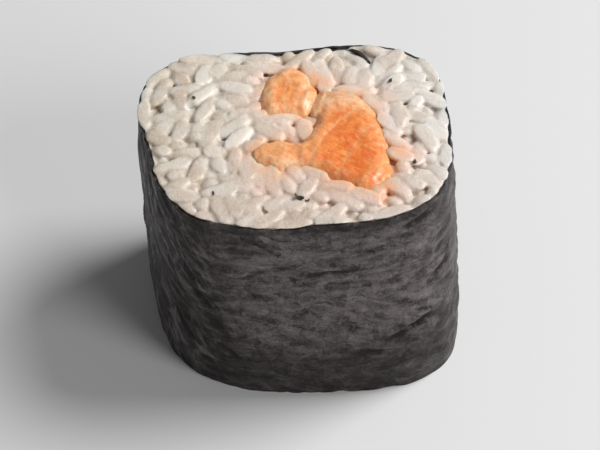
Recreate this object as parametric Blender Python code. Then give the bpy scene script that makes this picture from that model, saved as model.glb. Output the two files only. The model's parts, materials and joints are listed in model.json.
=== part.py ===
"""Salmon hosomaki: one piece cut from a thin sushi roll, standing on its cut end.

A sheet of nori is wrapped once round a body of pressed rice and laps over itself at the back,
where its inner end curls into the rice. Two strips of salmon run through the rice from cut to cut.
+Z is up along the roll, +X is the piece's right and -Y its front. The origin is the middle of the
foot. Lengths are in metres.
"""

import math

import bmesh
import bpy
from mathutils import Vector, noise

MM = 0.001

# The roll, as the rolling mat leaves it: a squarish oval, whose radius swells and shrinks by a few
# per cent in waves round it. They blunt its right side, round its left front and turn its corners.
# The waves with two amounts have those at the foot and at the upper cut.
WIDTH = 29.46 * MM
DEPTH = 24.8 * MM
CUT_LENGTH = 21.8 * MM
SQUARENESS = 3.1
TWO_WAVES = -0.01
THREE_WAVES = (-0.034, -0.011)
THREE_WAVES_ALONG = (0.016, 0.027)
FOUR_WAVES = -0.037
MIDDLE = Vector((0.4, -0.01)) * MM

# The knife pulls both ends of the roll in a little, and the lower one also carries the weight.
TOP_PINCH = 0.25 * MM
FOOT_PINCH = 0.45 * MM
PINCH_REACH = 5.0 * MM
DENT_DEPTH = 0.18 * MM
DENTS_PER_METRE = 95.0

# The nori: a moist sheet with a lapped seam along the back.
NORI_THICKNESS = 0.4 * MM
LAYER_GAP = 0.15 * MM
SEAM_ANGLE = math.radians(72)
OVERLAP_TURN = math.radians(52)
STEP_DOWN_TURN = math.radians(34)
HOOK_TURN = math.radians(10)
HOOK_DEPTH = 2.2 * MM
NORI_STEPS = 84
NORI_LEVELS = 7

# The rice: pressed to the nori, slightly crowned at the upper cut and flat at the foot.
CLEARANCE = 0.3 * MM
RICE_CROWN = 0.55 * MM
RICE_EDGE_DROP = 0.25 * MM
LUMP_HEIGHT = 0.22 * MM
LUMPS_PER_METRE = 330.0
RICE_STEPS = 70
RICE_RINGS = 9
RICE_LEVELS = 6
RICE_SHOULDER = 0.6 * MM

# The salmon: outlines at the upper cut, in millimetres from the roll's axis, anticlockwise.
MAIN_STRIP = (
    (2.7, 5.2), (2.0, 3.2), (2.1, 0.8), (0.8, -1.4), (-1.4, -1.1), (-3.2, -1.9), (-3.4, -3.8),
    (-1.4, -5.0), (1.4, -4.5), (4.4, -6.1), (7.2, -7.4), (9.0, -6.2), (8.8, -3.0), (8.0, 0.8),
    (6.7, 3.9), (4.6, 5.4),
)
SIDE_STRIP = (
    (-2.8, 2.5), (0.5, 2.7), (1.3, 5.0), (0.8, 7.6), (-1.0, 8.5), (-3.0, 6.4),
)
STEPS_PER_POINT = 4
STRIP_LEVELS = 4
STRIP_PROUD = 0.35 * MM
STRIP_RECESS = 0.15 * MM
STRIP_EDGE = 0.35 * MM
STRIP_TWIST = math.radians(-7)
STRIP_NARROWING = 0.06
STRIP_DRIFT = Vector((-0.5, 0.4)) * MM

LOOKS = {
    "nori": {"colour": (0.045, 0.042, 0.041), "roughness": 0.5},
    "rice": {"colour": (0.72, 0.66, 0.58), "roughness": 0.45},
    "salmon": {"colour": (0.78, 0.27, 0.08), "roughness": 0.3},
}


def smooth_step(value):
    """Rises from 0 to 1 with level ends."""
    value = min(max(value, 0.0), 1.0)
    return value * value * (3 - 2 * value)


def between(ends, height):
    """The amount at a height, between those at the foot and at the upper cut."""
    return ends[0] + (ends[1] - ends[0]) * height / CUT_LENGTH


def outline_point(angle, height):
    """The roll's outside at a height: a superellipse with waves in its radius."""
    across = abs(math.cos(angle) / (WIDTH / 2)) ** SQUARENESS
    along = abs(math.sin(angle) / (DEPTH / 2)) ** SQUARENESS
    radius = (across + along) ** (-1 / SQUARENESS)
    waves = TWO_WAVES * math.sin(2 * angle) + FOUR_WAVES * math.sin(4 * angle)
    waves += between(THREE_WAVES, height) * math.cos(3 * angle)
    waves += between(THREE_WAVES_ALONG, height) * math.sin(3 * angle)
    radius *= 1 + waves
    return MIDDLE + Vector((radius * math.cos(angle), radius * math.sin(angle)))


def end_pinch(height):
    """How far the wall is pulled in near each cut."""
    to_top = max(0.0, (height - CUT_LENGTH + PINCH_REACH) / PINCH_REACH)
    to_foot = max(0.0, (PINCH_REACH - height) / PINCH_REACH)
    return TOP_PINCH * to_top ** 2 + FOOT_PINCH * to_foot ** 2


def wall_point(angle, height, inset):
    """A point at that depth under the roll's outside, measured square to the wall."""
    nudge = math.radians(1)
    point = outline_point(angle, height)
    ahead, behind = outline_point(angle + nudge, height), outline_point(angle - nudge, height)
    tangent = (ahead - behind).normalized()
    inward = Vector((-tangent.y, tangent.x))
    place = Vector((point.x, point.y, height)) * DENTS_PER_METRE
    dent = DENT_DEPTH * (0.5 + 0.5 * noise.noise(place))
    return point + inward * (inset + end_pinch(height) + dent)


def nori_depth(turn):
    """Depth of the sheet's middle surface, for a turn counted from the seam."""
    layer = NORI_THICKNESS + LAYER_GAP
    if turn < 0:
        return NORI_THICKNESS / 2 + layer + HOOK_DEPTH * (-turn / HOOK_TURN) ** 1.3
    return NORI_THICKNESS / 2 + layer * (1 - smooth_step((turn - OVERLAP_TURN) / STEP_DOWN_TURN))


def levels(top, count):
    """Heights from 0 to top, closer together near both ends."""
    return [top * (1 - math.cos(math.pi * i / (count - 1))) / 2 for i in range(count)]


def strip_sides(line, half_width):
    """The two lines that run beside an open line, at half a width from it."""
    left, right = [], []
    for i, point in enumerate(line):
        before = line[max(i - 1, 0)]
        after = line[min(i + 1, len(line) - 1)]
        tangent = (after - before).normalized()
        normal = Vector((-tangent.y, tangent.x)) * half_width
        left.append(point + normal)
        right.append(point - normal)
    return left, right


def sheet_mesh(bm, first_turn, last_turn, steps, half_width, heights):
    """Fills bm with a closed wall that follows the nori's middle surface."""
    rows = []
    for height in heights:
        line = []
        for i in range(steps + 1):
            turn = first_turn + (last_turn - first_turn) * i / steps
            line.append(wall_point(SEAM_ANGLE + turn, height, nori_depth(turn)))
        inner, outer = strip_sides(line, half_width)
        loop = outer + inner[::-1]
        rows.append([bm.verts.new((p.x, p.y, height)) for p in loop])
    count = len(rows[0])
    for low, high in zip(rows, rows[1:]):
        for i in range(count):
            j = (i + 1) % count
            bm.faces.new((low[i], low[j], high[j], high[i]))
    for row, up in ((rows[0], False), (rows[-1], True)):
        for i in range(steps):
            face = (row[i], row[i + 1], row[count - 2 - i], row[count - 1 - i])
            bm.faces.new(face if up else face[::-1])


def new_object(name, fill, look=None):
    """Makes an object whose mesh the function fill builds, with its material."""
    bm = bmesh.new()
    fill(bm)
    bmesh.ops.recalc_face_normals(bm, faces=bm.faces)
    mesh = bpy.data.meshes.new(name)
    bm.to_mesh(mesh)
    bm.free()
    obj = bpy.data.objects.new(name, mesh)
    bpy.context.scene.collection.objects.link(obj)
    if look:
        mesh.materials.append(look)
        mesh.shade_smooth()
        mesh.set_sharp_from_angle(angle=math.radians(40))
    return obj


def new_cutter(name, fill):
    """Makes a guide shape that only cuts other pieces."""
    obj = new_object(name, fill)
    obj.hide_render = True
    obj.display_type = "WIRE"
    return obj


def cut(target, cutter):
    """Subtracts the cutter from the target."""
    modifier = target.modifiers.new("cut_" + cutter.name, "BOOLEAN")
    modifier.operation = "DIFFERENCE"
    modifier.object = cutter


def material(name):
    """A plain material with the piece's colour."""
    look = LOOKS[name]
    made = bpy.data.materials.new(name)
    made.use_nodes = True
    shader = made.node_tree.nodes["Principled BSDF"]
    shader.inputs["Base Color"].default_value = (*look["colour"], 1)
    shader.inputs["Roughness"].default_value = look["roughness"]
    shader.inputs["Metallic"].default_value = 0
    return made


def make_nori():
    """The wrapper, from the end curled into the rice to the free end over the seam."""
    last_turn = 2 * math.pi + OVERLAP_TURN

    def fill(bm):
        heights = levels(CUT_LENGTH, NORI_LEVELS)
        sheet_mesh(bm, -HOOK_TURN, last_turn, NORI_STEPS, NORI_THICKNESS / 2, heights)

    return new_object("nori", fill, material("nori"))


def rice_depth(angle):
    """Depth of the rice's side under the roll's outside: one layer of nori, or two at the lap."""
    turn = (angle - SEAM_ANGLE) % (2 * math.pi)
    return nori_depth(turn) + NORI_THICKNESS / 2 + CLEARANCE


def rice_top(point, share):
    """Height of the upper cut, where share runs from 0 at the axis to 1 at the side."""
    lumps = noise.noise(Vector((point.x, point.y, 0)) * LUMPS_PER_METRE)
    return CUT_LENGTH + RICE_CROWN * (1 - share ** 2) - RICE_EDGE_DROP * share ** 6 + LUMP_HEIGHT * lumps


def make_rice():
    """The pressed rice, before the salmon and the curled nori are let into it."""
    angles = [2 * math.pi * i / RICE_STEPS for i in range(RICE_STEPS)]

    def side_ring(bm, height):
        places = [wall_point(angle, height, rice_depth(angle)) for angle in angles]
        return [bm.verts.new((p.x, p.y, height)) for p in places]

    def top_ring(bm, share):
        places = [wall_point(angle, CUT_LENGTH, rice_depth(angle)) * share for angle in angles]
        return [bm.verts.new((p.x, p.y, rice_top(p, share))) for p in places]

    def fill(bm):
        rings = [side_ring(bm, height) for height in levels(CUT_LENGTH - RICE_SHOULDER, RICE_LEVELS)]
        rings += [top_ring(bm, 1 - i / RICE_RINGS) for i in range(RICE_RINGS)]
        bm.faces.new(rings[0][::-1])
        for low, high in zip(rings, rings[1:]):
            for i in range(RICE_STEPS):
                j = (i + 1) % RICE_STEPS
                bm.faces.new((low[i], low[j], high[j], high[i]))
        middle = bm.verts.new((0, 0, rice_top(Vector((0, 0)), 0)))
        for i in range(RICE_STEPS):
            bm.faces.new((rings[-1][i], rings[-1][(i + 1) % RICE_STEPS], middle))

    return new_object("rice", fill, material("rice"))


def smooth_loop(points):
    """A closed smooth curve through the points, as a uniform Catmull-Rom spline."""
    knots = [Vector(p) * MM for p in points]
    count = len(knots)
    loop = []
    for i in range(count):
        a, b, c, d = (knots[(i + k) % count] for k in (-1, 0, 1, 2))
        for step in range(STEPS_PER_POINT):
            t = step / STEPS_PER_POINT
            loop.append(0.5 * (2 * b + (c - a) * t + (2 * a - 5 * b + 4 * c - d) * t ** 2
                               + (3 * b - a - 3 * c + d) * t ** 3))
    return loop


def swollen(loop, amount):
    """The anticlockwise loop moved outwards by amount, or inwards if that is negative."""
    moved = []
    for i, point in enumerate(loop):
        tangent = (loop[(i + 1) % len(loop)] - loop[i - 1]).normalized()
        moved.append(point + Vector((tangent.y, -tangent.x)) * amount)
    return moved


def strip_place(point, height):
    """Where an outline's point lies at a height: the fish narrows, turns and drifts to the foot."""
    down = 1 - height / CUT_LENGTH
    turn = STRIP_TWIST * down
    scale = 1 - STRIP_NARROWING * down
    x = (point.x * math.cos(turn) - point.y * math.sin(turn)) * scale
    y = (point.x * math.sin(turn) + point.y * math.cos(turn)) * scale
    return Vector((x, y)) + STRIP_DRIFT * down


def strip_mesh(bm, sections):
    """Fills bm with a solid through the sections, each an outline and its height."""
    rows = []
    for loop, height in sections:
        places = [strip_place(p, height) for p in loop]
        rows.append([bm.verts.new((p.x, p.y, height)) for p in places])
    for low, high in zip(rows, rows[1:]):
        for i in range(len(low)):
            j = (i + 1) % len(low)
            bm.faces.new((low[i], low[j], high[j], high[i]))
    bm.faces.new(rows[0][::-1])
    bm.faces.new(rows[-1])


def make_strip(name, points, look):
    """A strip of salmon with softened edges at both cuts."""
    loop = smooth_loop(points)
    narrow = swollen(loop, -STRIP_EDGE)
    low = STRIP_RECESS
    high = CUT_LENGTH + RICE_CROWN + STRIP_PROUD

    def fill(bm):
        sections = [(narrow, low)]
        for level in range(STRIP_LEVELS):
            share = level / (STRIP_LEVELS - 1)
            sections.append((loop, low + STRIP_EDGE + (high - low - 2 * STRIP_EDGE) * share))
        sections.append((narrow, high))
        strip_mesh(bm, sections)

    return new_object(name, fill, look)


def strip_channel(name, points):
    """The room that a strip of salmon takes in the rice."""
    loop = swollen(smooth_loop(points), CLEARANCE)

    def fill(bm):
        strip_mesh(bm, [(loop, -2 * MM), (loop, CUT_LENGTH / 2), (loop, CUT_LENGTH + 3 * MM)])

    return new_cutter(name, fill)


def hook_slot():
    """The room that the nori's curled end takes in the rice."""
    heights = [-1 * MM, 0, CUT_LENGTH / 3, CUT_LENGTH * 2 / 3, CUT_LENGTH, CUT_LENGTH + 3 * MM]

    def fill(bm):
        half_width = NORI_THICKNESS / 2 + CLEARANCE
        sheet_mesh(bm, -HOOK_TURN * 1.1, HOOK_TURN / 2, 10, half_width, heights)

    return new_cutter("hook_slot", fill)


def main():
    for obj in list(bpy.data.objects):
        bpy.data.objects.remove(obj, do_unlink=True)
    make_nori()
    rice = make_rice()
    salmon = material("salmon")
    for name, points in (("salmon_main", MAIN_STRIP), ("salmon_side", SIDE_STRIP)):
        make_strip(name, points, salmon)
        cut(rice, strip_channel(name + "_channel", points))
    cut(rice, hook_slot())


main()
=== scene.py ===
"""Looks of a salmon hosomaki: one piece cut from a thin sushi roll, standing on its cut end.

The sections follow the roll as it is made: the sheet of nori, the strips of salmon, the rice that
is packed between them, and the crumbs that the knife leaves. The stage, lights and camera come
last. Lengths are in metres.
"""

import json
import math

import bpy
import numpy as np
from mathutils import Matrix, Vector, kdtree, noise

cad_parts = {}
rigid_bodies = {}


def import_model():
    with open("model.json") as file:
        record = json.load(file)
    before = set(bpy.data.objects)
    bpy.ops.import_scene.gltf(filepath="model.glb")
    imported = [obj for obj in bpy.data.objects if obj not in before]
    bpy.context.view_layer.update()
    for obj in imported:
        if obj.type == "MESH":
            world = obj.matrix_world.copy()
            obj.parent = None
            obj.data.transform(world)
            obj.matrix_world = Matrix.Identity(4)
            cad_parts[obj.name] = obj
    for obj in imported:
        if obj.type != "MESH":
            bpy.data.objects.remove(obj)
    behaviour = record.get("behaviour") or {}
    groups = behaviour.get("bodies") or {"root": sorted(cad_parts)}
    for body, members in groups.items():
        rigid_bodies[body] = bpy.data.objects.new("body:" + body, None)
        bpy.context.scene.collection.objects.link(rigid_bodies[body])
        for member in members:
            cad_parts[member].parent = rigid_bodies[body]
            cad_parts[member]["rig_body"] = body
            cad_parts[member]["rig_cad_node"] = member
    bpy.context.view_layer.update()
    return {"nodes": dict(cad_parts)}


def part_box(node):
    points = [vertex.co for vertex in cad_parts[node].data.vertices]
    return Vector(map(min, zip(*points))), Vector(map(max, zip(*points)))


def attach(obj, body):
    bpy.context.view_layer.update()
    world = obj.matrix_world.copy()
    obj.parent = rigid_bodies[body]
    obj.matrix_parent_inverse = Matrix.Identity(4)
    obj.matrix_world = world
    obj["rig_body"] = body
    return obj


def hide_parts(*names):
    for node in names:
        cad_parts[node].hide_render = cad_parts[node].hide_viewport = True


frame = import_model()


# ---- Nori ------------------------------------------------------------------------------------
# A sheet of toasted seaweed, wound once round the rice and softened by its moisture. Its inner
# end is curled into the rice at the back, and its outer end laps over the start of the sheet.

MM = 0.001
nori_low, nori_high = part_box("nori")
CUT_LENGTH = nori_high.z
WIDTH = 29.46 * MM
DEPTH = 24.8 * MM
SQUARENESS = 3.1
# The waves in the radius, two, three and four round the roll. The three change up the roll.
TWO_WAVES = -0.01
THREE_WAVES = (-0.034, -0.011)
THREE_WAVES_ALONG = (0.016, 0.027)
FOUR_WAVES = -0.037
MIDDLE = (0.4 * MM, -0.01 * MM)
TOP_PINCH = 0.25 * MM
FOOT_PINCH = 0.3 * MM
PINCH_REACH = 5.0 * MM
DENT_DEPTH = 0.18 * MM
DENTS_PER_METRE = 95.0
ANGLE_STEP = 0.01

SHEET_THICKNESS = 0.26 * MM
SHEET_STEP = 0.25 * MM
LAP_LAYER = 0.34 * MM
SEAM_ANGLE = math.radians(72)
OVERLAP_TURN = math.radians(52)
STEP_DOWN_TURN = math.radians(34)
# The curled end: how far round and how deep it goes, how tightly, its length in depths, and how
# far its rim rises.
HOOK_TURN = math.radians(10)
HOOK_DEPTH = 2.2 * MM
HOOK_CURL = 1.3
HOOK_LENGTH = 0.4
HOOK_RISE = 0.35 * MM
RUN_POINTS = 1500
SHARP_ANGLE = math.radians(50)

# Depths of the sheet's creases, crinkles and lumps, and how they vary over it in millimetres.
CREASE_SLANT = math.radians(22)
CREASE_BEND = 5
BEND_SCALE = (0.06, 0.05, 1)
CREASE_DEPTH = 0.17 * MM
CREASE_SCALE = (0.09, 0.36, 1)
CREASE_SHARPNESS = 2.6
CREASED_PARTS = (0.09, 0.12, 1)
CRINKLE_DEPTH = 0.10 * MM
CRINKLE_SCALE = (0.3, 0.75, 1)
CRINKLE_SHARPNESS = 3.2
FINE_SCALE = (0.6, 1.1, 1)
FINE_SHARE = 0.5
LUMP_DEPTH = 0.09 * MM
LUMP_SCALE = (0.42, 0.42, 1)
# The cut rim and the torn free end waver over the last share of the sheet.
EDGE_WANDER = 0.16 * MM
EDGE_SCALE = (0.22, 1, 1)
EDGE_SINK = 0.55
RIM_SHARE = 0.2
FREE_END_WANDER = 0.3 * MM
FREE_END_SHARE = 0.05
TORN_SCALE = 0.35
# Short tucks of the sheet, in degrees and millimetres: angle round the roll, height, length,
# slant and depth.
TUCKS = (
    (-47, 7.6, 4.2, 20, 0.40),
    (-61, 5.4, 2.8, -6, 0.22),
    (-74, 16.0, 3.4, 3, 0.20),
    (-72, 14.6, 2.6, 6, 0.16),
    (-103, 13.2, 2.4, -12, 0.18),
    (-128, 11.5, 3.6, -46, 0.26),
    (-122, 8.6, 3.0, -52, 0.22),
    (-140, 7.0, 4.2, -52, 0.28),
    (-133, 14.6, 3.0, -44, 0.20),
    (-118, 5.2, 2.8, -40, 0.18),
    (-30, 13.5, 3.0, 24, 0.20),
    (12, 8.0, 4.0, 12, 0.24),
    (40, 12.0, 3.2, 60, 0.22),
    (172, 9.0, 4.4, -30, 0.24),
    (148, 14.0, 3.4, -14, 0.20),
    (104, 6.5, 3.6, 18, 0.22),
    (-41, 20.6, 2.6, 4, 0.20),
)
TUCK_WIDTH = 0.36 * MM
TUCK_BULGE = 0.6
TUCK_BULGE_AWAY = 1.5
TUCK_SHOWN = 0.2 * MM

# The left side is more streaked and blotched than the rest, its stronger blotches a painted
# highlight and shade for light grazing its creases, and this fades toward the back.
LEFT_FROM = -3 * MM
LEFT_REACH = -9 * MM
BACK_FADE = 0.75
BACK_REACH = 8 * MM
# Painted shade on the sheet's left side, which faces away from the lamps: the axis, where it
# starts, its reach and how strong it is.
LEFT_SHADE = (0, -1.5 * MM, -7.5 * MM, 0.9)
# More painted shade: at the right edge, toward the foot, toward the rim and in a thin line at the
# rim.
OTHER_SHADE = (
    (0, 11.3 * MM, 3.0 * MM, 0.5),
    (2, 11.0 * MM, -11.0 * MM, 1.45),
    (2, CUT_LENGTH - 5.5 * MM, 5.5 * MM, 0.3),
    (2, CUT_LENGTH - 1.0 * MM, 0.5 * MM, 0.9),
)
DARK_NORI = (0.011, 0.0062, 0.0052, 1)
GREY_NORI = (0.252, 0.219, 0.219, 1)
# Streaks in the sheet's colour: their slant, how they are stretched, and how much they waver.
STREAKS = (
    (math.radians(52), (0.36, 0.9, 1), 1.2),
    (CREASE_SLANT, (0.36, 1.1, 1), 0.5),
    (math.radians(-5), (0.3, 1.2, 1), 0.4),
)
CONTRAST = 1.9
LEFT_CONTRAST = (1.8, 5.6)


def smooth_step(value):
    """Rises from 0 to 1 with level ends."""
    value = np.clip(value, 0.0, 1.0)
    return value * value * (3 - 2 * value)


def ramp(value, start, reach):
    """Rises from 0 to 1 over a reach from the start, upward or, for a negative reach, downward."""
    return smooth_step((value - start) / reach)


def between(ends, up):
    """What lies at a share of the height, from its values at the foot and at the top."""
    return ends[0] + (ends[1] - ends[0]) * up


def outline(angle, height):
    """The roll's outside at a height, as x and y: a superellipse with waves in its radius."""
    across = np.abs(np.cos(angle) / (WIDTH / 2)) ** SQUARENESS
    along = np.abs(np.sin(angle) / (DEPTH / 2)) ** SQUARENESS
    up = height / CUT_LENGTH
    waves = TWO_WAVES * np.sin(2 * angle) + FOUR_WAVES * np.sin(4 * angle)
    waves = waves + between(THREE_WAVES, up) * np.cos(3 * angle)
    waves = waves + between(THREE_WAVES_ALONG, up) * np.sin(3 * angle)
    radius = (across + along) ** (-1 / SQUARENESS) * (1 + waves)
    return MIDDLE[0] + radius * np.cos(angle), MIDDLE[1] + radius * np.sin(angle)


def wall(angle, height, inset):
    """Points at that depth under the roll's outside, which is dented and pinched at the cuts."""
    x, y = outline(angle, height)
    before_x, before_y = outline(angle - ANGLE_STEP, height)
    after_x, after_y = outline(angle + ANGLE_STEP, height)
    length = np.hypot(after_x - before_x, after_y - before_y)
    inward_x, inward_y = (before_y - after_y) / length, (after_x - before_x) / length
    to_top = np.maximum(0.0, (height - CUT_LENGTH + PINCH_REACH) / PINCH_REACH)
    to_foot = np.maximum(0.0, (PINCH_REACH - height) / PINCH_REACH)
    places = np.stack([x, y, height], axis=-1) * DENTS_PER_METRE
    dents = np.array([noise.noise(p) for p in places.reshape(-1, 3)]).reshape(x.shape)
    depth = inset + TOP_PINCH * to_top ** 2 + FOOT_PINCH * to_foot ** 2
    depth = depth + DENT_DEPTH * (0.5 + 0.5 * dents)
    return x + inward_x * depth, y + inward_y * depth


def sheet_depth(turn):
    """Depth of the sheet's outer face, for a turn counted from the seam."""
    lapped = LAP_LAYER * (1 - ramp(turn, OVERLAP_TURN, STEP_DOWN_TURN))
    return lapped + HOOK_DEPTH * np.maximum(0.0, -turn / HOOK_TURN) ** HOOK_CURL


def noise_field(points, scale):
    """Blender's noise from -1 to 1 at each point, stretched by the scale of each axis."""
    return np.array([noise.noise(p) for p in np.asarray(points) * np.asarray(scale)])


def layered_noise(points, layers):
    """The sum of noise at several scales, each with its strength."""
    return sum(strength * noise_field(points, scale) for scale, strength in layers)


def only(obj):
    """Selects this object alone and makes it active."""
    bpy.ops.object.select_all(action="DESELECT")
    obj.select_set(True)
    bpy.context.view_layer.objects.active = obj


def apply_modifiers(obj):
    """Applies the object's modifiers in their order."""
    only(obj)
    for modifier in list(obj.modifiers):
        bpy.ops.object.modifier_apply(modifier=modifier.name)


def places_of(obj):
    """The object's vertices as an array."""
    flat = np.empty(len(obj.data.vertices) * 3, np.float32)
    obj.data.vertices.foreach_get("co", flat)
    return flat.reshape(-1, 3).astype(float)


def normals_of(obj):
    """The directions in which the object's vertices face, as an array."""
    flat = np.empty(len(obj.data.vertices) * 3, np.float32)
    obj.data.vertex_normals.foreach_get("vector", flat)
    return flat.reshape(-1, 3).astype(float)


def move_to(obj, places):
    """Puts the object's vertices at these places."""
    obj.data.vertices.foreach_set("co", np.asarray(places, np.float32).ravel())
    obj.data.update()


def raise_to_floor(obj):
    """Brings up to the floor what lies below it, and gives the object's vertices."""
    places = places_of(obj)
    places[:, 2] = np.maximum(places[:, 2], 0.0)
    move_to(obj, places)
    return places


def set_attribute(obj, name, values):
    """Stores one number, or one row of three, for each vertex, for a material to read."""
    values = np.asarray(values, np.float32)
    kind, field = ("FLOAT", "value") if values.ndim == 1 else ("FLOAT_VECTOR", "vector")
    attribute = obj.data.attributes.new(name, kind, "POINT")
    attribute.data.foreach_set(field, values.ravel())


def read_attribute(tree, name, output="Fac"):
    """A socket with what is stored for each vertex."""
    return add_node(tree, "ShaderNodeAttribute", attribute_name=name).outputs[output]


def add_node(tree, kind, inputs=None, **settings):
    """Adds a node; inputs holds values or the sockets that feed it."""
    made = tree.nodes.new(kind)
    for name, value in settings.items():
        setattr(made, name, value)
    for name, value in (inputs or {}).items():
        if isinstance(value, bpy.types.NodeSocket):
            tree.links.new(value, made.inputs[name])
        else:
            made.inputs[name].default_value = value
    return made


def blend_colours(tree, share, first, second):
    """A colour socket that goes from the first colour to the second as share goes from 0 to 1."""
    inputs = {0: share, 6: first, 7: second}
    return add_node(tree, "ShaderNodeMix", inputs, data_type="RGBA").outputs[2]


def blend_values(tree, share, first, second):
    """A value socket that goes from the first value to the second as share goes from 0 to 1."""
    return add_node(tree, "ShaderNodeMix", {0: share, 2: first, 3: second}).outputs[0]


def spread(tree, value, low, high, to_low=0.0, to_high=1.0):
    """A value socket remapped, with its ends held."""
    inputs = {
        "Value": value, "From Min": low, "From Max": high, "To Min": to_low, "To Max": to_high}
    return add_node(tree, "ShaderNodeMapRange", inputs).outputs["Result"]


def tint(tree, body, colour, value, low, high, most=1.0):
    """A colour socket tinted with another colour, the more so as a value goes from low to high."""
    return blend_colours(tree, spread(tree, value, low, high, 0.0, most), body, colour)


def maths(tree, operation, first, second=0.0):
    """A value socket with the result of one sum."""
    return add_node(tree, "ShaderNodeMath", {0: first, 1: second}, operation=operation).outputs[0]


def plus(tree, value, other, times=1.0):
    """A value socket with the value plus a number of times the other."""
    return maths(tree, "ADD", value, maths(tree, "MULTIPLY", other, times))


def cloud(tree, place, scale, detail=3.0, roughness=0.6, distortion=0.0):
    """A value socket of soft noise over a place socket."""
    return add_node(tree, "ShaderNodeTexNoise", {
        "Vector": place, "Scale": scale, "Detail": detail, "Roughness": roughness,
        "Distortion": distortion}).outputs[0]


def stretched(tree, place, turn, scale):
    """A place socket turned about Z and then scaled along each axis."""
    turned = add_node(tree, "ShaderNodeMapping", {"Vector": place, "Rotation": (0, 0, turn)})
    inputs = {"Vector": turned.outputs[0], "Scale": scale}
    return add_node(tree, "ShaderNodeMapping", inputs).outputs[0]


def wavered(tree, place, scale, amount):
    """A place socket on a sheet, pushed about by soft noise."""
    push = add_node(tree, "ShaderNodeTexNoise", {"Vector": place, "Scale": scale, "Detail": 3.0})
    push = add_node(tree, "ShaderNodeVectorMath", {0: push.outputs[1], 1: (amount, amount, 0)},
                    operation="MULTIPLY")
    moved = add_node(tree, "ShaderNodeVectorMath", {0: place, 1: push.outputs[0]}, operation="ADD")
    return moved.outputs[0]


def flakes_of(tree, place, scale, channel):
    """A value socket that stays the same over each flake: a channel of its random colour."""
    cells = add_node(tree, "ShaderNodeTexVoronoi", {
        "Vector": place, "Scale": scale, "Randomness": 1.0})
    return add_node(tree, "ShaderNodeSeparateXYZ", {"Vector": cells.outputs[1]}).outputs[channel]


def new_material(name):
    """An empty material with its shader and output joined."""
    made = bpy.data.materials.new(name)
    made.use_nodes = True
    return made, made.node_tree, made.node_tree.nodes["Principled BSDF"]


def cover(tree, shader, colour, roughness, relief, strength, depth):
    """Feeds a shader its colour and roughness, and bumps of a depth that follow the relief."""
    tree.links.new(colour, shader.inputs["Base Color"])
    tree.links.new(roughness, shader.inputs["Roughness"])
    inputs = {"Height": relief, "Strength": strength, "Distance": depth}
    tree.links.new(add_node(tree, "ShaderNodeBump", inputs).outputs[0], shader.inputs["Normal"])


turns = np.linspace(-HOOK_TURN, 2 * math.pi + OVERLAP_TURN, RUN_POINTS)
line_x, line_y = outline(SEAM_ANGLE + turns, CUT_LENGTH / 2)
steps = np.hypot(np.diff(line_x), np.diff(line_y))
run = np.concatenate([[0.0], np.cumsum(steps)])
SHEET_LENGTH = run[-1] + HOOK_DEPTH * HOOK_LENGTH


def tuck_depths(across, rise):
    """How deep the short tucks are at places on the flat sheet; the sheet bulges beside each."""
    depth = np.zeros(len(across))
    for around, height, length, slant, tuck_depth in TUCKS:
        around, slant = math.radians(around), math.radians(slant)
        dx = across - np.interp((around - SEAM_ANGLE) % (2 * math.pi), turns, run)
        dy = rise - height * MM
        beside = (dy * math.cos(slant) - dx * math.sin(slant)) / TUCK_WIDTH
        beyond = (dx * math.cos(slant) + dy * math.sin(slant)) / (length * MM / 2)
        fold = np.exp(-beside ** 2) - TUCK_BULGE * np.exp(-(beside - TUCK_BULGE_AWAY) ** 2)
        depth += tuck_depth * MM * np.exp(-beyond ** 4) * fold
    return depth


def sheet_face(turn, up, below=0.0):
    """Points of the sheet's outer face, or that far below it.

    The turn is counted from the seam, and up goes from 0 at the foot to 1 at the upper cut."""
    across, rise = np.interp(turn, turns, run), up * CUT_LENGTH
    on_sheet = np.stack([across, rise, np.zeros(len(turn))], axis=1) / MM
    bent = on_sheet[:, 1] + CREASE_BEND * noise_field(on_sheet, BEND_SCALE)
    across_grain = bent * math.cos(CREASE_SLANT) + on_sheet[:, 0] * math.sin(CREASE_SLANT)
    with_grain = on_sheet[:, 0] * math.cos(CREASE_SLANT) - bent * math.sin(CREASE_SLANT)
    grain = np.stack([with_grain, across_grain, on_sheet[:, 2]], axis=1)
    ridged = 1 - np.abs(noise_field(grain, CREASE_SCALE)) * CREASE_SHARPNESS
    creased = smooth_step(noise_field(on_sheet, CREASED_PARTS) * 1.6 + 0.5)
    depth = CREASE_DEPTH * smooth_step(ridged) ** 3 * creased
    crinkled = 1 - np.abs(noise_field(grain + 30, CRINKLE_SCALE)) * CRINKLE_SHARPNESS
    crinkled = np.maximum(0.0, crinkled) + FINE_SHARE * noise_field(grain + 60, FINE_SCALE)
    depth += CRINKLE_DEPTH * (0.5 + crinkled)
    depth += LUMP_DEPTH * (1 + noise_field(on_sheet + 90, LUMP_SCALE))
    depth += tuck_depths(across, rise)
    along_edge = np.stack([on_sheet[:, 0], np.round(up) * 9, on_sheet[:, 2]], axis=1)
    wander = noise_field(along_edge, EDGE_SCALE) - EDGE_SINK
    at_rim = ramp(up, 1 - RIM_SHARE, RIM_SHARE)
    height = rise + EDGE_WANDER * wander * at_rim
    height += HOOK_RISE * at_rim * smooth_step(-turn / (HOOK_TURN / 2))
    height = np.maximum(height, 0.0)
    x, y = wall(SEAM_ANGLE + turn, height, sheet_depth(turn) + depth + below)
    return np.stack([x, y, height], axis=1)


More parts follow.
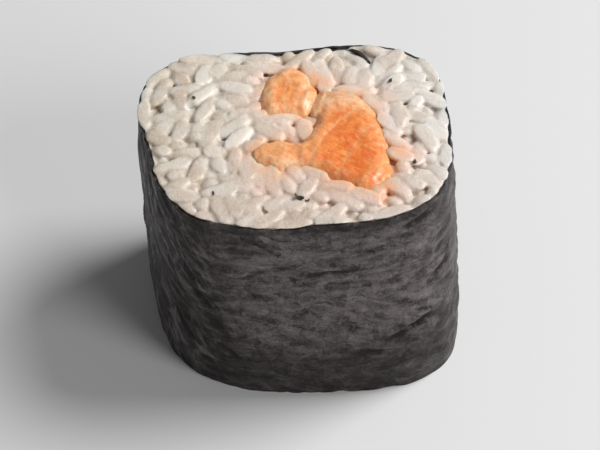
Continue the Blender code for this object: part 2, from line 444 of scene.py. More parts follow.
bpy.ops.object.select_all(action="DESELECT")
bpy.ops.mesh.primitive_grid_add(x_subdivisions=round(SHEET_LENGTH / SHEET_STEP),
                                y_subdivisions=round(CUT_LENGTH / SHEET_STEP), size=1)
nori = bpy.context.object
nori.name = "nori_sheet"
flat = places_of(nori) + 0.5
along, up = flat[:, 0] * run[-1], flat[:, 1]
torn = noise_field(np.stack([up * CUT_LENGTH / MM, along * 0, along * 0], axis=1), TORN_SCALE)
along -= FREE_END_WANDER * (0.8 + torn) * ramp(flat[:, 0], 1 - FREE_END_SHARE, FREE_END_SHARE)
move_to(nori, sheet_face(np.interp(along, run, turns), up))
# The tucks' depths are kept so that shade can be painted into the folds.
fold = tuck_depths(along, up * CUT_LENGTH)
set_attribute(nori, "fold", np.clip(fold / TUCK_SHOWN, 0, 1))

thicken = nori.modifiers.new("thickness", "SOLIDIFY")
thicken.thickness = SHEET_THICKNESS
thicken.offset = -1
thicken.use_even_offset = False
apply_modifiers(nori)
bpy.ops.object.shade_smooth_by_angle(angle=SHARP_ANGLE)

places = raise_to_floor(nori)
to_back = 1 - BACK_FADE * smooth_step(places[:, 1] / BACK_REACH)
set_attribute(nori, "left", ramp(places[:, 0], LEFT_FROM, LEFT_REACH) * to_back)
# Painted shade, kept for the material: darker on the left, at the right edge, toward the foot and
# at the rim.
axis, start, reach, strength = LEFT_SHADE
painted_shade = strength * ramp(places[:, axis], start, reach) * to_back
for axis, start, reach, strength in OTHER_SHADE:
    painted_shade += strength * ramp(places[:, axis], start, reach)
set_attribute(nori, "painted_shade", np.clip(painted_shade, 0, 1))

nori_look, tree, shader = new_material("moist_nori")
sheet_mm = add_node(tree, "ShaderNodeMapping", {
    "Vector": add_node(tree, "ShaderNodeTexCoord").outputs["UV"],
    "Scale": (SHEET_LENGTH / MM, CUT_LENGTH / MM, 1)}).outputs[0]
left = read_attribute(tree, "left")
painted_shade = read_attribute(tree, "painted_shade")
patches = cloud(tree, sheet_mm, 0.16, 2.0)
steep, slanted, level = (
    cloud(tree, stretched(tree, sheet_mm, slant, scale), 1.0, 4.0, 0.6, waver)
    for slant, scale, waver in STREAKS)
streaks = blend_values(tree, spread(tree, patches, 0.45, 0.6), level, slanted)
streaks = blend_values(tree, left, streaks, steep)
ragged = wavered(tree, sheet_mm, 1.3, 1.5)
flakes = maths(tree, "ADD", flakes_of(tree, ragged, 0.8, 0), flakes_of(tree, ragged, 2.6, 1))
pulp = cloud(tree, sheet_mm, 4.0, 4.0, 0.75)
# How grey each place is: the streaks, flakes and pulp that show, less the painted shade and the
# painted shade in the folds.
# On the left the blotches are painted stronger: painted highlight and shade for light grazing the
# creases.
painted_grazing_light = maths(tree, "MULTIPLY", left, spread(tree, patches, 0.4, 0.62, *LEFT_CONTRAST))
contrast = maths(tree, "ADD", CONTRAST, painted_grazing_light)
share = maths(tree, "MULTIPLY", maths(tree, "SUBTRACT", streaks, 0.5), contrast)
share = plus(tree, share, flakes, 0.3)
share = plus(tree, share, maths(tree, "SUBTRACT", pulp, 0.5), 1.1)
share = plus(tree, share, painted_shade, -0.16)
# Painted shade in the folds.
share = plus(tree, share, read_attribute(tree, "fold"), -0.5)
body = blend_colours(tree, spread(tree, share, -0.12, 0.95), DARK_NORI, GREY_NORI)
# The painted shade darkens the sheet further, less so on its grey streaks.
shaded_share = maths(tree, "MULTIPLY", painted_shade, spread(tree, share, 0.0, 0.8, 0.8, 0.42))
body = blend_colours(tree, shaded_share, body, DARK_NORI)
relief = plus(tree, maths(tree, "MULTIPLY", streaks, 1.4), pulp, 0.7)
relief = plus(tree, relief, flakes, 0.2)
cover(tree, shader, body, spread(tree, share, 0.0, 1.0, 0.56, 0.38), relief, 0.8, 0.2 * MM)
shader.inputs["Specular IOR Level"].default_value = 0.28
shader.inputs["Coat Weight"].default_value = 0.05
shader.inputs["Coat Roughness"].default_value = 0.25
shader.inputs["Sheen Weight"].default_value = 0.08
shader.inputs["Sheen Roughness"].default_value = 0.35
nori.data.materials.append(nori_look)

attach(nori, "root")
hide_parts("nori")


# ---- Salmon ----------------------------------------------------------------------------------
# Two strips of raw salmon run through the roll. The knife leaves their ends nearly flat but
# lumpy and wet, with thin lines of fat between the bands of muscle and soft, ragged edges.

FISH_STEP = 0.15 * MM
FISH_SOFTENING = 4
FISH_SWELL = 0.2 * MM
FISH_SINK = 0.08 * MM
FISH_EDGE = 1.0 * MM
FISH_DROOP = 0.28 * MM
FISH_LIFT = 0.05 * MM
END_DEPTH = 1.5 * MM
END_REACH = 1.2 * MM
WARP_SCALE = (0.2, 0.2, 0.08)
LUMP_HEIGHT = 0.17 * MM
LUMPS = (((0.5, 0.5, 0.3), 1.0), ((1.2, 1.2, 0.8), 0.6), ((2.4, 2.4, 2.0), 0.35))
GROOVE_DEPTH = 0.05 * MM
GROOVE_WIDTH = 0.3
RAGGED = 0.22 * MM
RAGS = (((0.8, 0.8, 0.5), 1.0), ((2.0, 2.0, 1.0), 0.5))
# The strips press against each other where they are closer than TOUCH_REACH.
TOUCH_REACH = 1.8 * MM
TOUCH_BLEND = 0.5 * MM
TOUCH_SWELL = 0.42 * MM
TOUCH_LEVEL = 0.6
# For each strip: the millimetres between its lines of fat, their slant and how they warp, how much
# fat shows, how pale the strip is, a shift of its noise, and how fine its fibres are across the
# lines and along them.
FISH = {
    "salmon_main": {
        "band": 2.9, "line": math.radians(58), "warp": 2.6, "fat": 0.42, "pale": 0.05,
        "seed": 3.0, "fibres": (1.03, 3.2)},
    "salmon_side": {
        "band": 1.5, "line": math.radians(101), "warp": 1.6, "fat": 0.3, "pale": 0.72,
        "seed": 8.0, "fibres": (3.0, 0.6)},
}
FIBRES_DOWN = 0.5
# The strips are paler at their edges and on their lumps. The main strip is also paler in its thin
# arm, left of ARM_PLACE, and at its back, behind BACK_PLACE.
EDGE_PALE = 0.6
EDGE_PALE_REACH = 2.2 * MM
LUMP_PALE = 0.3
ARM_PLACE = 3.2 * MM
ARM_PALE = 0.78
BACK_PLACE = 1.0 * MM
BACK_PALE = 1.35
PALE_REACH = 3 * MM
MOST_PALE = 1.6
DEEP_FISH = (0.78, 0.145, 0.018, 1)
STRONG_FISH = (0.88, 0.255, 0.042, 1)
LIGHT_FISH = (0.88, 0.465, 0.215, 1)
FAT = (0.90, 0.62, 0.40, 1)


def copy_of(node_name, name):
    """A merged copy of a CAD node, to be shaped further."""
    made = frame["nodes"][node_name].copy()
    made.data = made.data.copy()
    made.name = name
    made.hide_render = made.hide_viewport = False
    made.parent = None
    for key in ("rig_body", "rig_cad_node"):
        del made[key]
    bpy.context.scene.collection.objects.link(made)
    only(made)
    bpy.ops.object.mode_set(mode="EDIT")
    bpy.ops.mesh.select_all(action="SELECT")
    bpy.ops.mesh.remove_doubles(threshold=0.01 * MM)
    bpy.ops.object.mode_set(mode="OBJECT")
    return made


def section_of(node_name, height):
    """The outline of a CAD strip at a height, as a closed loop of x and y."""
    cut = copy_of(node_name, "section")
    bpy.ops.object.mode_set(mode="EDIT")
    bpy.ops.mesh.select_all(action="SELECT")
    bpy.ops.mesh.bisect(plane_co=(0, 0, height), plane_no=(0, 0, 1), clear_inner=True,
                        clear_outer=True)
    bpy.ops.object.mode_set(mode="OBJECT")
    links = {v.index: [] for v in cut.data.vertices}
    for edge in cut.data.edges:
        a, b = edge.vertices
        links[a].append(b)
        links[b].append(a)
    loop, before, here = [], None, 0
    while not loop or here != 0:
        loop.append(tuple(cut.data.vertices[here].co.xy))
        here, before = next(n for n in links[here] if n != before), here
    bpy.data.objects.remove(cut)
    return np.array(loop)


def side_distance(x, y, loop):
    """Distance to a closed outline, negative inside it."""
    shape = np.shape(x)
    points = np.stack([np.ravel(x), np.ravel(y)], axis=1)
    starts, ends = loop, np.roll(loop, -1, axis=0)
    edges = ends - starts
    nearest = np.full(len(points), 1.0)
    crossings = np.zeros(len(points), int)
    for start, end, edge in zip(starts, ends, edges):
        if not edge.any():
            continue
        offset = points - start
        share = np.clip(offset @ edge / (edge @ edge), 0, 1)
        nearest = np.minimum(nearest, np.hypot(*(offset - share[:, None] * edge).T))
        spans = (start[1] > points[:, 1]) != (end[1] > points[:, 1])
        rise = edge[1] if edge[1] else 1.0
        crossings += spans & (points[:, 0] < start[0] + (points[:, 1] - start[1]) * edge[0] / rise)
    return np.where(crossings % 2 == 1, -nearest, nearest).reshape(shape)


def salmon_material():
    """Wet orange muscle with fine fibres, crossed by thin pale lines of fat."""
    look, tree, shader = new_material("raw_salmon")
    place = add_node(tree, "ShaderNodeTexCoord").outputs["Object"]
    pale = read_attribute(tree, "pale")
    fat_share = read_attribute(tree, "fat")
    clouds = cloud(tree, place, 520.0, 4.0, 0.62)
    lumps = cloud(tree, place, 1500.0, 3.0, 0.6)
    grain = cloud(tree, place, 4200.0, 2.0, 0.6)
    fibres = cloud(tree, read_attribute(tree, "fibres", "Vector"), 1.0, 4.0, 0.68, 0.4)
    wobbling = plus(tree, read_attribute(tree, "band"), maths(tree, "SUBTRACT", lumps, 0.5), 0.2)
    from_line = maths(tree, "SUBTRACT", maths(tree, "FRACT", wobbling), 0.5)
    from_line = maths(tree, "ABSOLUTE", from_line)
    line = maths(tree, "MULTIPLY", spread(tree, from_line, 0.045, 0.005),
                 spread(tree, clouds, 0.38, 0.6, 0.1, 1.0))
    halo = maths(tree, "MULTIPLY", spread(tree, from_line, 0.2, 0.0), fat_share)
    body = blend_colours(tree, spread(tree, clouds, 0.36, 0.64), DEEP_FISH, STRONG_FISH)
    body = blend_colours(tree, pale, body, LIGHT_FISH)
    body = tint(tree, body, FAT, pale, 1.0, MOST_PALE)
    body = tint(tree, body, LIGHT_FISH, fibres, 0.44, 0.70, 0.7)
    body = tint(tree, body, STRONG_FISH, fibres, 0.5, 0.36, 0.4)
    body = tint(tree, body, DEEP_FISH, lumps, 0.56, 0.40, 0.36)
    body = blend_colours(tree, maths(tree, "MULTIPLY", halo, 0.5), body, LIGHT_FISH)
    body = blend_colours(tree, maths(tree, "MULTIPLY", line, fat_share), body, FAT)
    relief = plus(tree, maths(tree, "MULTIPLY", grain, 0.3), lumps, 0.9)
    relief = plus(tree, relief, fibres, 0.7)
    cover(tree, shader, body, spread(tree, grain, 0.3, 0.75, 0.18, 0.42), relief, 0.5, 0.2 * MM)
    shader.inputs["IOR"].default_value = 1.4
    shader.inputs["Subsurface Weight"].default_value = 0.6
    shader.inputs["Subsurface Radius"].default_value = (1.0, 0.35, 0.15)
    shader.inputs["Subsurface Scale"].default_value = 0.9 * MM
    shader.inputs["Specular IOR Level"].default_value = 0.4
    shader.inputs["Coat Weight"].default_value = 0.45
    shader.inputs["Coat Roughness"].default_value = 0.2
    return look


def from_strip(node_name, places):
    """Distance of each place to a strip's outline at the nearer cut, negative inside it."""
    top, foot = (side_distance(places[:, 0], places[:, 1], loop) for loop in sections[node_name])
    return np.where(places[:, 2] > roll_middle, top, foot)


salmon_look = salmon_material()
roll_middle = (nori_low.z + CUT_LENGTH) / 2
sections = {name: (section_of(name, CUT_LENGTH - MM), section_of(name, MM)) for name in FISH}
for node_name, strip in FISH.items():
    fish = copy_of(node_name, node_name + "_strip")
    remesh = fish.modifiers.new("even_faces", "REMESH")
    remesh.mode = "VOXEL"
    remesh.voxel_size = FISH_STEP
    soften = fish.modifiers.new("soften", "SMOOTH")
    soften.iterations = FISH_SOFTENING
    apply_modifiers(fish)

    places = places_of(fish)
    normals = normals_of(fish)
    in_mm = places / MM + strip["seed"]
    warp = noise_field(in_mm, WARP_SCALE) * strip["warp"]
    ahead, aside = math.sin(strip["line"]), math.cos(strip["line"])
    across = (in_mm[:, 0] + warp) * ahead - (in_mm[:, 1] + warp) * aside
    with_line = in_mm[:, 0] * aside + in_mm[:, 1] * ahead
    band = across / strip["band"]
    from_line = np.abs(band - np.floor(band) - 0.5) * strip["band"]
    groove = 1 - smooth_step(from_line / GROOVE_WIDTH)
    lumps = layered_noise(in_mm, LUMPS)
    toward_end = np.sign(places[:, 2] - roll_middle)
    at_end = ramp(np.abs(places[:, 2] - roll_middle), CUT_LENGTH / 2 - END_DEPTH, END_REACH)
    inside = -from_strip(node_name, places)
    to_other = from_strip(next(name for name in FISH if name != node_name), places)
    touching = ramp(to_other, TOUCH_REACH, -TOUCH_BLEND)
    droop = FISH_DROOP * (1 - smooth_step(inside / FISH_EDGE)) * (1 - TOUCH_LEVEL * touching)
    rise = LUMP_HEIGHT * lumps - GROOVE_DEPTH * groove * strip["fat"] - droop - FISH_SINK
    ragged = layered_noise(in_mm + 60, RAGS)
    swell = FISH_SWELL + TOUCH_SWELL * touching + RAGGED * ragged * at_end * (1 - touching)
    sideways = swell * (1 - np.abs(normals[:, 2]))
    places += normals * sideways[:, None]
    places[:, 2] += toward_end * at_end * rise
    places[:, 2] = np.maximum(places[:, 2], FISH_LIFT)
    move_to(fish, places)
    bpy.ops.object.shade_smooth()
    set_attribute(fish, "band", band)
    finer_across, finer_along = strip["fibres"]
    fibres = [across * finer_across, with_line * finer_along, in_mm[:, 2] * FIBRES_DOWN]
    set_attribute(fish, "fibres", np.stack(fibres, axis=1))
    pale = strip["pale"] + EDGE_PALE * (1 - smooth_step(inside / EDGE_PALE_REACH))
    if node_name == "salmon_main":
        in_arm = ARM_PALE * ramp(places[:, 0], ARM_PLACE, -PALE_REACH)
        pale += in_arm + BACK_PALE * ramp(places[:, 1], BACK_PLACE, PALE_REACH)
    set_attribute(fish, "pale", np.clip(pale + LUMP_PALE * lumps, 0, MOST_PALE))
    set_attribute(fish, "fat", np.full(len(places), strip["fat"]))
    fish.data.materials.clear()
    fish.data.materials.append(salmon_look)
    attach(fish, "root")
    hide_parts(node_name)


# ---- Rice ------------------------------------------------------------------------------------
# Cooked short grains, sticky and pressed together until they share their sides. Whole grains
# show at both cuts, where the knife has planed them off; the inside of the roll is one mass.

GRAIN_LENGTH = 3.8 * MM
GRAIN_WIDTH = 1.7 * MM
GRAIN_HEIGHT = 1.5 * MM
GRAIN_SCATTER = (0.11, 0.08, 0.08)
GRAIN_SEGMENTS = 20
GRAIN_RINGS = 14
GRAIN_BLUNTNESS = 2.6
GRAIN_TILT = math.radians(21)
GRAIN_ROLL = math.radians(40)
GRAIN_DIMPLE = 0.05 * MM
DIMPLE_SCALE = 0.75
# The four kinds of grain: how much each tapers, how deep its nick is, and how it bends.
GRAIN_KINDS = ((0.10, 0.09, 0.03), (0.04, 0.05, -0.05), (0.14, 0.12, 0.07), (-0.06, 0.07, 0.0))
TOP_GRAINS = 136
LOWER_GRAINS = 116
LOWER_DEPTH = 1.9 * MM
STREW_TRIES = 14
STREW_EDGE = 0.4 * MM
# While it is packed, a grain is a row of balls, which are pushed apart a share at each step.
BALL_SIZES = (0.9, 1.0, 1.0, 0.9)
BALLS_REACH = 0.95
SQUEEZE = 0.86
WALL_PRESS = 0.62
FISH_PRESS = 0.8
FISH_OVERLAP = 0.15 * MM
RELAX_STEPS = 260
NEIGHBOUR_REACH = 1.2 * GRAIN_LENGTH
PUSH_SHARE = 0.4
SHIFT_SHARE = 0.9
SETTLE_SHARE = 0.4
LEVEL_SHARE = 0.3
# The knife's cut: how proud of it the grains stand, how soft and uneven it is, and its crown.
PROUD = 0.3 * MM
PROUD_SCATTER = 0.16 * MM
KNIFE_GIVE = 0.09 * MM
KNIFE_LEAN = 0.05
CUT_SCATTER = 0.08 * MM
RICE_CROWN = 0.5 * MM
CROWN_REACH = 10 * MM
RIM_RISE = 0.15 * MM
RIM_SPILL = 0.4 * MM
# Grids over a cut, with the distance to what borders the rice. BRIDGE closes the thin gap
# between the strips, where no grain fits.
FIELD_STEP = 0.1 * MM
FIELD_SPAN = 17 * MM
WALL_POINTS = 240
HOOK_POINTS = 8
BRIDGE = 1.4 * MM
HOOK_ROOM = 0.3 * MM
# The mass inside: how far it stays below the cuts, and the share of its height at each end.
CORE_BELOW = 0.9 * MM
CORE_EDGE = 1.2 * MM
CORE_LUMPS = 0.25 * MM
CORE_LUMP_SCALE = 700
CORE_END = 0.3
RICE_STEP = 0.115 * MM
STARCH_PASSES = 6
STARCH_SHARE = 0.7
RELIEF_KEPT = 0.62
RELIEF_DEPTH = 1.2 * MM
RELIEF_END = 4.0 * MM
NORI_GAP = 0.03 * MM
HIDDEN_GAP = 0.4 * MM
HIDDEN_FROM = 1.2 * MM
HIDDEN_REACH = 1.5 * MM
LIMIT_POINTS = 720
LIMIT_ROWS = 90
# The share of the faces that is kept in each zone of the roll, and where the zones end.
KEPT_AT_TOP = 0.53
KEPT_AT_FOOT = 0.24
KEPT_BETWEEN = 0.1
TOP_ZONE = 2.2 * MM
FOOT_ZONE = 2.5 * MM
# Marks along each grain, in its lengths. A place as near to two grains' marks is in a crease, which
# is painted darker as shade.
MARKS = (-0.36, -0.12, 0.12, 0.36)
MARKS_SEARCHED = 9
SEAM_WIDTH = 0.24 * MM
TONE = 0.4
TONE_SCATTER = 0.3
STAIN = 0.75
STAIN_REACH = 0.9 * MM
MOST_STAIN = 0.85
# Where the knife has smeared the fish over the rice: x, y and reach in millimetres, and strength.
SMEARS = (
    (-1.6, -6.3, 2.2, 0.42),
    (10.2, -2.6, 2.2, 0.55),
    (9.0, -8.0, 1.6, 0.62),
    (0.2, 0.8, 1.9, 0.32),
    (2.2, 6.6, 1.6, 0.50),
    (7.6, 4.6, 1.8, 0.30),
    (4.0, -7.4, 2.2, 0.36),
)
WHITE_RICE = (0.765, 0.712, 0.632, 1)
WARM_RICE = (0.595, 0.487, 0.378, 1)
RIGHT_RICE = (0.715, 0.702, 0.69, 1)
SHADED_LEFT_RICE = (0.53, 0.475, 0.40, 1)
SHADED_FRONT_RICE = (0.565, 0.452, 0.372, 1)
CLOUDED_RICE = (0.78, 0.745, 0.69, 1)
SPECKED_RICE = (0.84, 0.82, 0.78, 1)
SHADED_CREASE_RICE = (0.47, 0.385, 0.30, 1)
FAINT_STAIN = (0.84, 0.47, 0.36, 1)
FULL_STAIN = (0.86, 0.42, 0.21, 1)
dice = np.random.default_rng(20)

ticks = np.arange(-FIELD_SPAN, FIELD_SPAN + FIELD_STEP / 2, FIELD_STEP)
grid_x, grid_y = np.meshgrid(ticks, ticks, indexing="ij")


def wall_loop(height):
    """The inner face of the nori at a height, as a closed loop of x and y."""
    around = np.linspace(0, 2 * math.pi, WALL_POINTS, endpoint=False)
    turn = (around - SEAM_ANGLE) % (2 * math.pi)
    x, y = wall(around, np.full(around.shape, height), sheet_depth(turn) + SHEET_THICKNESS)
    return np.stack([x, y], axis=1)


def room_at(height, outlines):
    """Distances over a cut, positive in the rice: to the nori's wall, to the nearer of its wall
    and its curled end, and to the fish."""
    to_wall = -side_distance(grid_x, grid_y, wall_loop(height))
    to_main, to_side = (side_distance(grid_x, grid_y, loop) for loop in outlines)
    to_fish = np.minimum(np.minimum(to_main, to_side), to_main + to_side - BRIDGE)
    turn = np.linspace(-HOOK_TURN, 0.0, HOOK_POINTS)
    inset = sheet_depth(turn) + SHEET_THICKNESS / 2
    x, y = wall(SEAM_ANGLE + turn, np.full(HOOK_POINTS, height), inset)
    line = np.stack([np.append(x, x[::-1]), np.append(y, y[::-1])], axis=1)
    to_hook = np.abs(side_distance(grid_x, grid_y, line)) - SHEET_THICKNESS / 2
    return to_wall, np.minimum(to_wall, to_hook - HOOK_ROOM), to_fish


def sample(field, x, y):
    """The grid's value at each place, read between its points."""
    u = np.clip((x + FIELD_SPAN) / FIELD_STEP, 0, len(ticks) - 1.001)
    v = np.clip((y + FIELD_SPAN) / FIELD_STEP, 0, len(ticks) - 1.001)
    i, j = u.astype(int), v.astype(int)
    p, q = u - i, v - j
    low = field[i, j] * (1 - p) + field[i + 1, j] * p
    high = field[i, j + 1] * (1 - p) + field[i + 1, j + 1] * p
    return low * (1 - q) + high * q


def slope(field, x, y):
    """The direction in which the grid's value grows."""
    step = FIELD_STEP
    along_x = sample(field, x + step, y) - sample(field, x - step, y)
    along_y = sample(field, x, y + step) - sample(field, x, y - step)
    length = np.hypot(along_x, along_y) + 1e-12
    return along_x / length, along_y / length


def strew(free, count):
    """Places spread evenly over the rice of a cut, each far from those before it."""
    chosen = []
    while len(chosen) < count:
        tries = dice.uniform(-1, 1, (STREW_TRIES, 2)) * (WIDTH / 2, DEPTH / 2)
        tries = tries[sample(free, tries[:, 0], tries[:, 1]) > STREW_EDGE]
        if len(tries) and chosen:
            spare = np.linalg.norm(tries[:, None] - np.array(chosen)[None], axis=2).min(axis=1)
            tries = tries[[spare.argmax()]]
        if len(tries):
            chosen.append(tries[0])
    return np.array(chosen)


def pack_grains(to_nori, to_fish):
    """Two layers of grains strewn under a cut, then pushed apart until they lie side by side.

    Returns their middles, with height counted from the cut, their directions and their sizes."""
    free = np.minimum(to_nori, to_fish)
    count = TOP_GRAINS + LOWER_GRAINS
    middles = np.zeros((count, 3))
    middles[:TOP_GRAINS, :2] = strew(free, TOP_GRAINS)
    middles[TOP_GRAINS:, :2] = strew(free, LOWER_GRAINS)
    headings = dice.uniform(0, 2 * math.pi, count)
    rises = np.sin(dice.normal(0, GRAIN_TILT, count))
    axes = np.stack([np.cos(headings), np.sin(headings), rises], axis=1)
    axes /= np.linalg.norm(axes, axis=1)[:, None]
    sizes = dice.normal(1.0, GRAIN_SCATTER, (count, 3)) * (GRAIN_LENGTH, GRAIN_WIDTH, GRAIN_HEIGHT)
    proud = dice.normal(PROUD, PROUD_SCATTER, count)
    bold = dice.exponential(FISH_OVERLAP, count)
    radii = (sizes[:, 1] + sizes[:, 2]) / 4 * SQUEEZE
    reach = sizes[:, 0] / 2 * BALLS_REACH - radii
    row = len(BALL_SIZES)
    balls = np.linspace(-1, 1, row)
    owner = np.repeat(np.arange(count), row)
    ball_radii = np.repeat(radii, row) * np.tile(BALL_SIZES, count)
    mine, theirs = np.repeat(np.arange(row), row), np.tile(np.arange(row), row)
    for _ in range(RELAX_STEPS):
        half_height = np.hypot(sizes[:, 0] / 2 * axes[:, 2], sizes[:, 2] / 2)
        depths = np.where(np.arange(count) < TOP_GRAINS, half_height - proud, LOWER_DEPTH)
        arms = (axes[:, None] * (balls[None, :, None] * reach[:, None, None])).reshape(-1, 3)
        places = middles[owner] + arms
        apart = np.linalg.norm(middles[:, None] - middles[None], axis=2)
        a, b = np.nonzero((apart < NEIGHBOUR_REACH) & ~np.eye(count, dtype=bool))
        first = (a[:, None] * row + mine).ravel()
        second = (b[:, None] * row + theirs).ravel()
        gaps = places[first] - places[second]
        distance = np.linalg.norm(gaps, axis=1) + 1e-9
        overlap = np.maximum(0.0, ball_radii[first] + ball_radii[second] - distance)
        pushes = gaps / distance[:, None] * overlap[:, None] * PUSH_SHARE
        push = np.stack([np.bincount(first, pushes[:, k], len(places)) for k in range(3)], axis=1)
        for field, spare, press in (
                (to_nori, 0.0, WALL_PRESS), (to_fish, bold[owner], FISH_PRESS)):
            room = sample(field, places[:, 0], places[:, 1]) + spare - ball_radii * press
            away_x, away_y = slope(field, places[:, 0], places[:, 1])
            push[:, 0] -= away_x * np.minimum(0.0, room)
            push[:, 1] -= away_y * np.minimum(0.0, room)
        shift = push.reshape(count, row, 3)
        arm = arms.reshape(count, row, 3)
        middles += shift.mean(axis=1) * SHIFT_SHARE
        middles[:, 2] += (-depths - middles[:, 2]) * SETTLE_SHARE
        twist = np.cross(arm, shift).sum(axis=1) / ((arm ** 2).sum(axis=(1, 2))[:, None] + 1e-12)
        axes += np.cross(twist, axes)
        axes[:, 2] += (rises - axes[:, 2]) * LEVEL_SHARE
        axes /= np.linalg.norm(axes, axis=1)[:, None]
    return middles, axes, sizes


def grain_shape(taper, notch, bend):
    """One cooked grain along X, one unit long and wide, with a blunt end and a nicked one."""
    bpy.ops.object.select_all(action="DESELECT")
    bpy.ops.mesh.primitive_uv_sphere_add(segments=GRAIN_SEGMENTS, ring_count=GRAIN_RINGS,
                                         radius=0.5, rotation=(0, math.pi / 2, 0))
    shape = bpy.context.object
    bpy.ops.object.transform_apply(location=False, rotation=True, scale=False)
    places = places_of(shape)
    x = places[:, 0] * 2
    fuller = (1 - np.abs(x) ** GRAIN_BLUNTNESS) ** 0.5 / np.maximum(1e-6, (1 - x ** 2) ** 0.5)
    fuller = np.where(np.abs(x) > 0.999, 1.0, fuller)
    places[:, 1:] *= (fuller * (1 - taper * x))[:, None]
    places[:, 2] += bend * x ** 2
    places[:, 0] -= notch * ramp(x, 0.62, 0.3) * ramp(places[:, 1], -0.1, 0.3)
    move_to(shape, places)
    return shape


def rice_material():
    """Sticky rice, each grain white or warmer, and orange where the fish has stained it, with
    painted shade toward the left, toward the front and in the creases between grains.
    """
    look, tree, shader = new_material("cooked_rice")
    place = add_node(tree, "ShaderNodeTexCoord").outputs["Object"]
    x, y, _ = add_node(tree, "ShaderNodeSeparateXYZ", {"Vector": place}).outputs
    stain = read_attribute(tree, "stain")
    clouds = cloud(tree, place, 620.0, 3.0, 0.6)
    starch = cloud(tree, place, 2300.0, 3.0, 0.6)
    specks = cloud(tree, place, 5200.0, 2.0, 0.5)
    body = blend_colours(tree, read_attribute(tree, "tone"), WHITE_RICE, WARM_RICE)
    body = tint(tree, body, RIGHT_RICE, x, 0.0, 14 * MM, 0.52)
    # Painted shade: darker toward the left rim and toward the front.
    body = tint(tree, body, SHADED_LEFT_RICE, x, -8 * MM, -14 * MM, 0.45)
    body = tint(tree, body, SHADED_FRONT_RICE, y, -3 * MM, -10 * MM, 0.55)
    body = tint(tree, body, CLOUDED_RICE, clouds, 0.48, 0.72, 0.55)
    body = tint(tree, body, SPECKED_RICE, specks, 0.6, 0.78, 0.5)
    # Painted shade in the creases between grains.
    crease = maths(tree, "MULTIPLY", read_attribute(tree, "crease"), 0.4)
    body = blend_colours(tree, crease, body, SHADED_CREASE_RICE)
    stained = maths(tree, "MULTIPLY", stain, spread(tree, clouds, 0.34, 0.6, 0.35, 1.0))
    stain_colour = blend_colours(tree, spread(tree, stain, 0.3, 0.65), FAINT_STAIN, FULL_STAIN)
    body = blend_colours(tree, stained, body, stain_colour)
    relief = plus(tree, starch, specks, 0.6)
    cover(tree, shader, body, spread(tree, starch, 0.3, 0.7, 0.34, 0.6), relief, 0.5, 0.16 * MM)
    shader.inputs["IOR"].default_value = 1.38
    shader.inputs["Subsurface Weight"].default_value = 0.75
    shader.inputs["Subsurface Radius"].default_value = (1.0, 0.8, 0.6)
    shader.inputs["Subsurface Scale"].default_value = 0.7 * MM
    shader.inputs["Coat Weight"].default_value = 0.27
    shader.inputs["Coat Roughness"].default_value = 0.18
    return look


def mass_of_rice():
    """The inside of the roll: a plug that ends below both cuts, but fills the nori to its rims."""
    bpy.ops.object.select_all(action="DESELECT")
    bpy.ops.mesh.primitive_uv_sphere_add(segments=240, ring_count=96, radius=1)
    plug = bpy.context.object
    places = places_of(plug)
    angle = np.arctan2(places[:, 1], places[:, 0])
    lean = np.arccos(np.clip(places[:, 2], -1, 1)) / math.pi
    out = np.clip(np.minimum(lean, 1 - lean) / CORE_END, 0, 1)
    side = np.clip((lean - CORE_END) / (1 - 2 * CORE_END), 0, 1)
    turn = (angle - SEAM_ANGLE) % (2 * math.pi)
    height = (1 - side) * CUT_LENGTH
    x, y = wall(angle, height, sheet_depth(turn) + SHEET_THICKNESS)
    x, y = x * out, y * out
    away = np.hypot(x, y) * (1 / np.maximum(out, 1e-3) - 1)
    lumps = noise_field(np.stack([x, y, height], axis=1), CORE_LUMP_SCALE)
    sunk = CORE_BELOW * smooth_step(away / CORE_EDGE) + CORE_LUMPS * lumps
    height += np.where(out < 1, np.where(lean < 0.5, -sunk, sunk), 0)
    move_to(plug, np.stack([x, y, np.clip(height, 0, CUT_LENGTH)], axis=1))
    return plug


def gather_starch(obj):
    """Fills the narrow gaps: each point that lies in a hollow rises toward its neighbours."""
    places = places_of(obj)
    count = len(places)
    pairs = np.empty(len(obj.data.edges) * 2, np.int32)
    obj.data.edges.foreach_get("vertices", pairs)
    first, second = pairs.reshape(-1, 2).T
    links = np.bincount(first, minlength=count) + np.bincount(second, minlength=count)
    for _ in range(STARCH_PASSES):
        sums = np.stack([
            np.bincount(first, places[second, k], count)
            + np.bincount(second, places[first, k], count) for k in range(3)], axis=1)
        pull = sums / links[:, None] - places
        normals = normals_of(obj)
        rise = np.maximum(0.0, (pull * normals).sum(axis=1))
        places += normals * rise[:, None] * STARCH_SHARE
        move_to(obj, places)


def cut_level(x, y):
    """Height of the knife's cut through the rice: the middle stands proud of the rim."""
    to_wall = rooms["top"][0]
    share = 1 - np.clip(sample(to_wall, x, y) / CROWN_REACH, 0, 1)
    return CUT_LENGTH + RIM_RISE + (RICE_CROWN - RIM_RISE) * (1 - share ** 2)


def cut_off(grain_places, middle):
    """Raises a grain to the upper cut, where the knife planes it off softly."""
    knife = cut_level(*middle[:2, None])[0]
    grain_places[:, 2] += knife
    knife += dice.normal(KNIFE_GIVE, CUT_SCATTER)
    knife = knife + (grain_places[:, :2] - middle[:2]) @ dice.normal(0, KNIFE_LEAN, 2)
    over = np.logaddexp(0, (knife - grain_places[:, 2]) / KNIFE_GIVE)
    grain_places[:, 2] = knife - KNIFE_GIVE * over


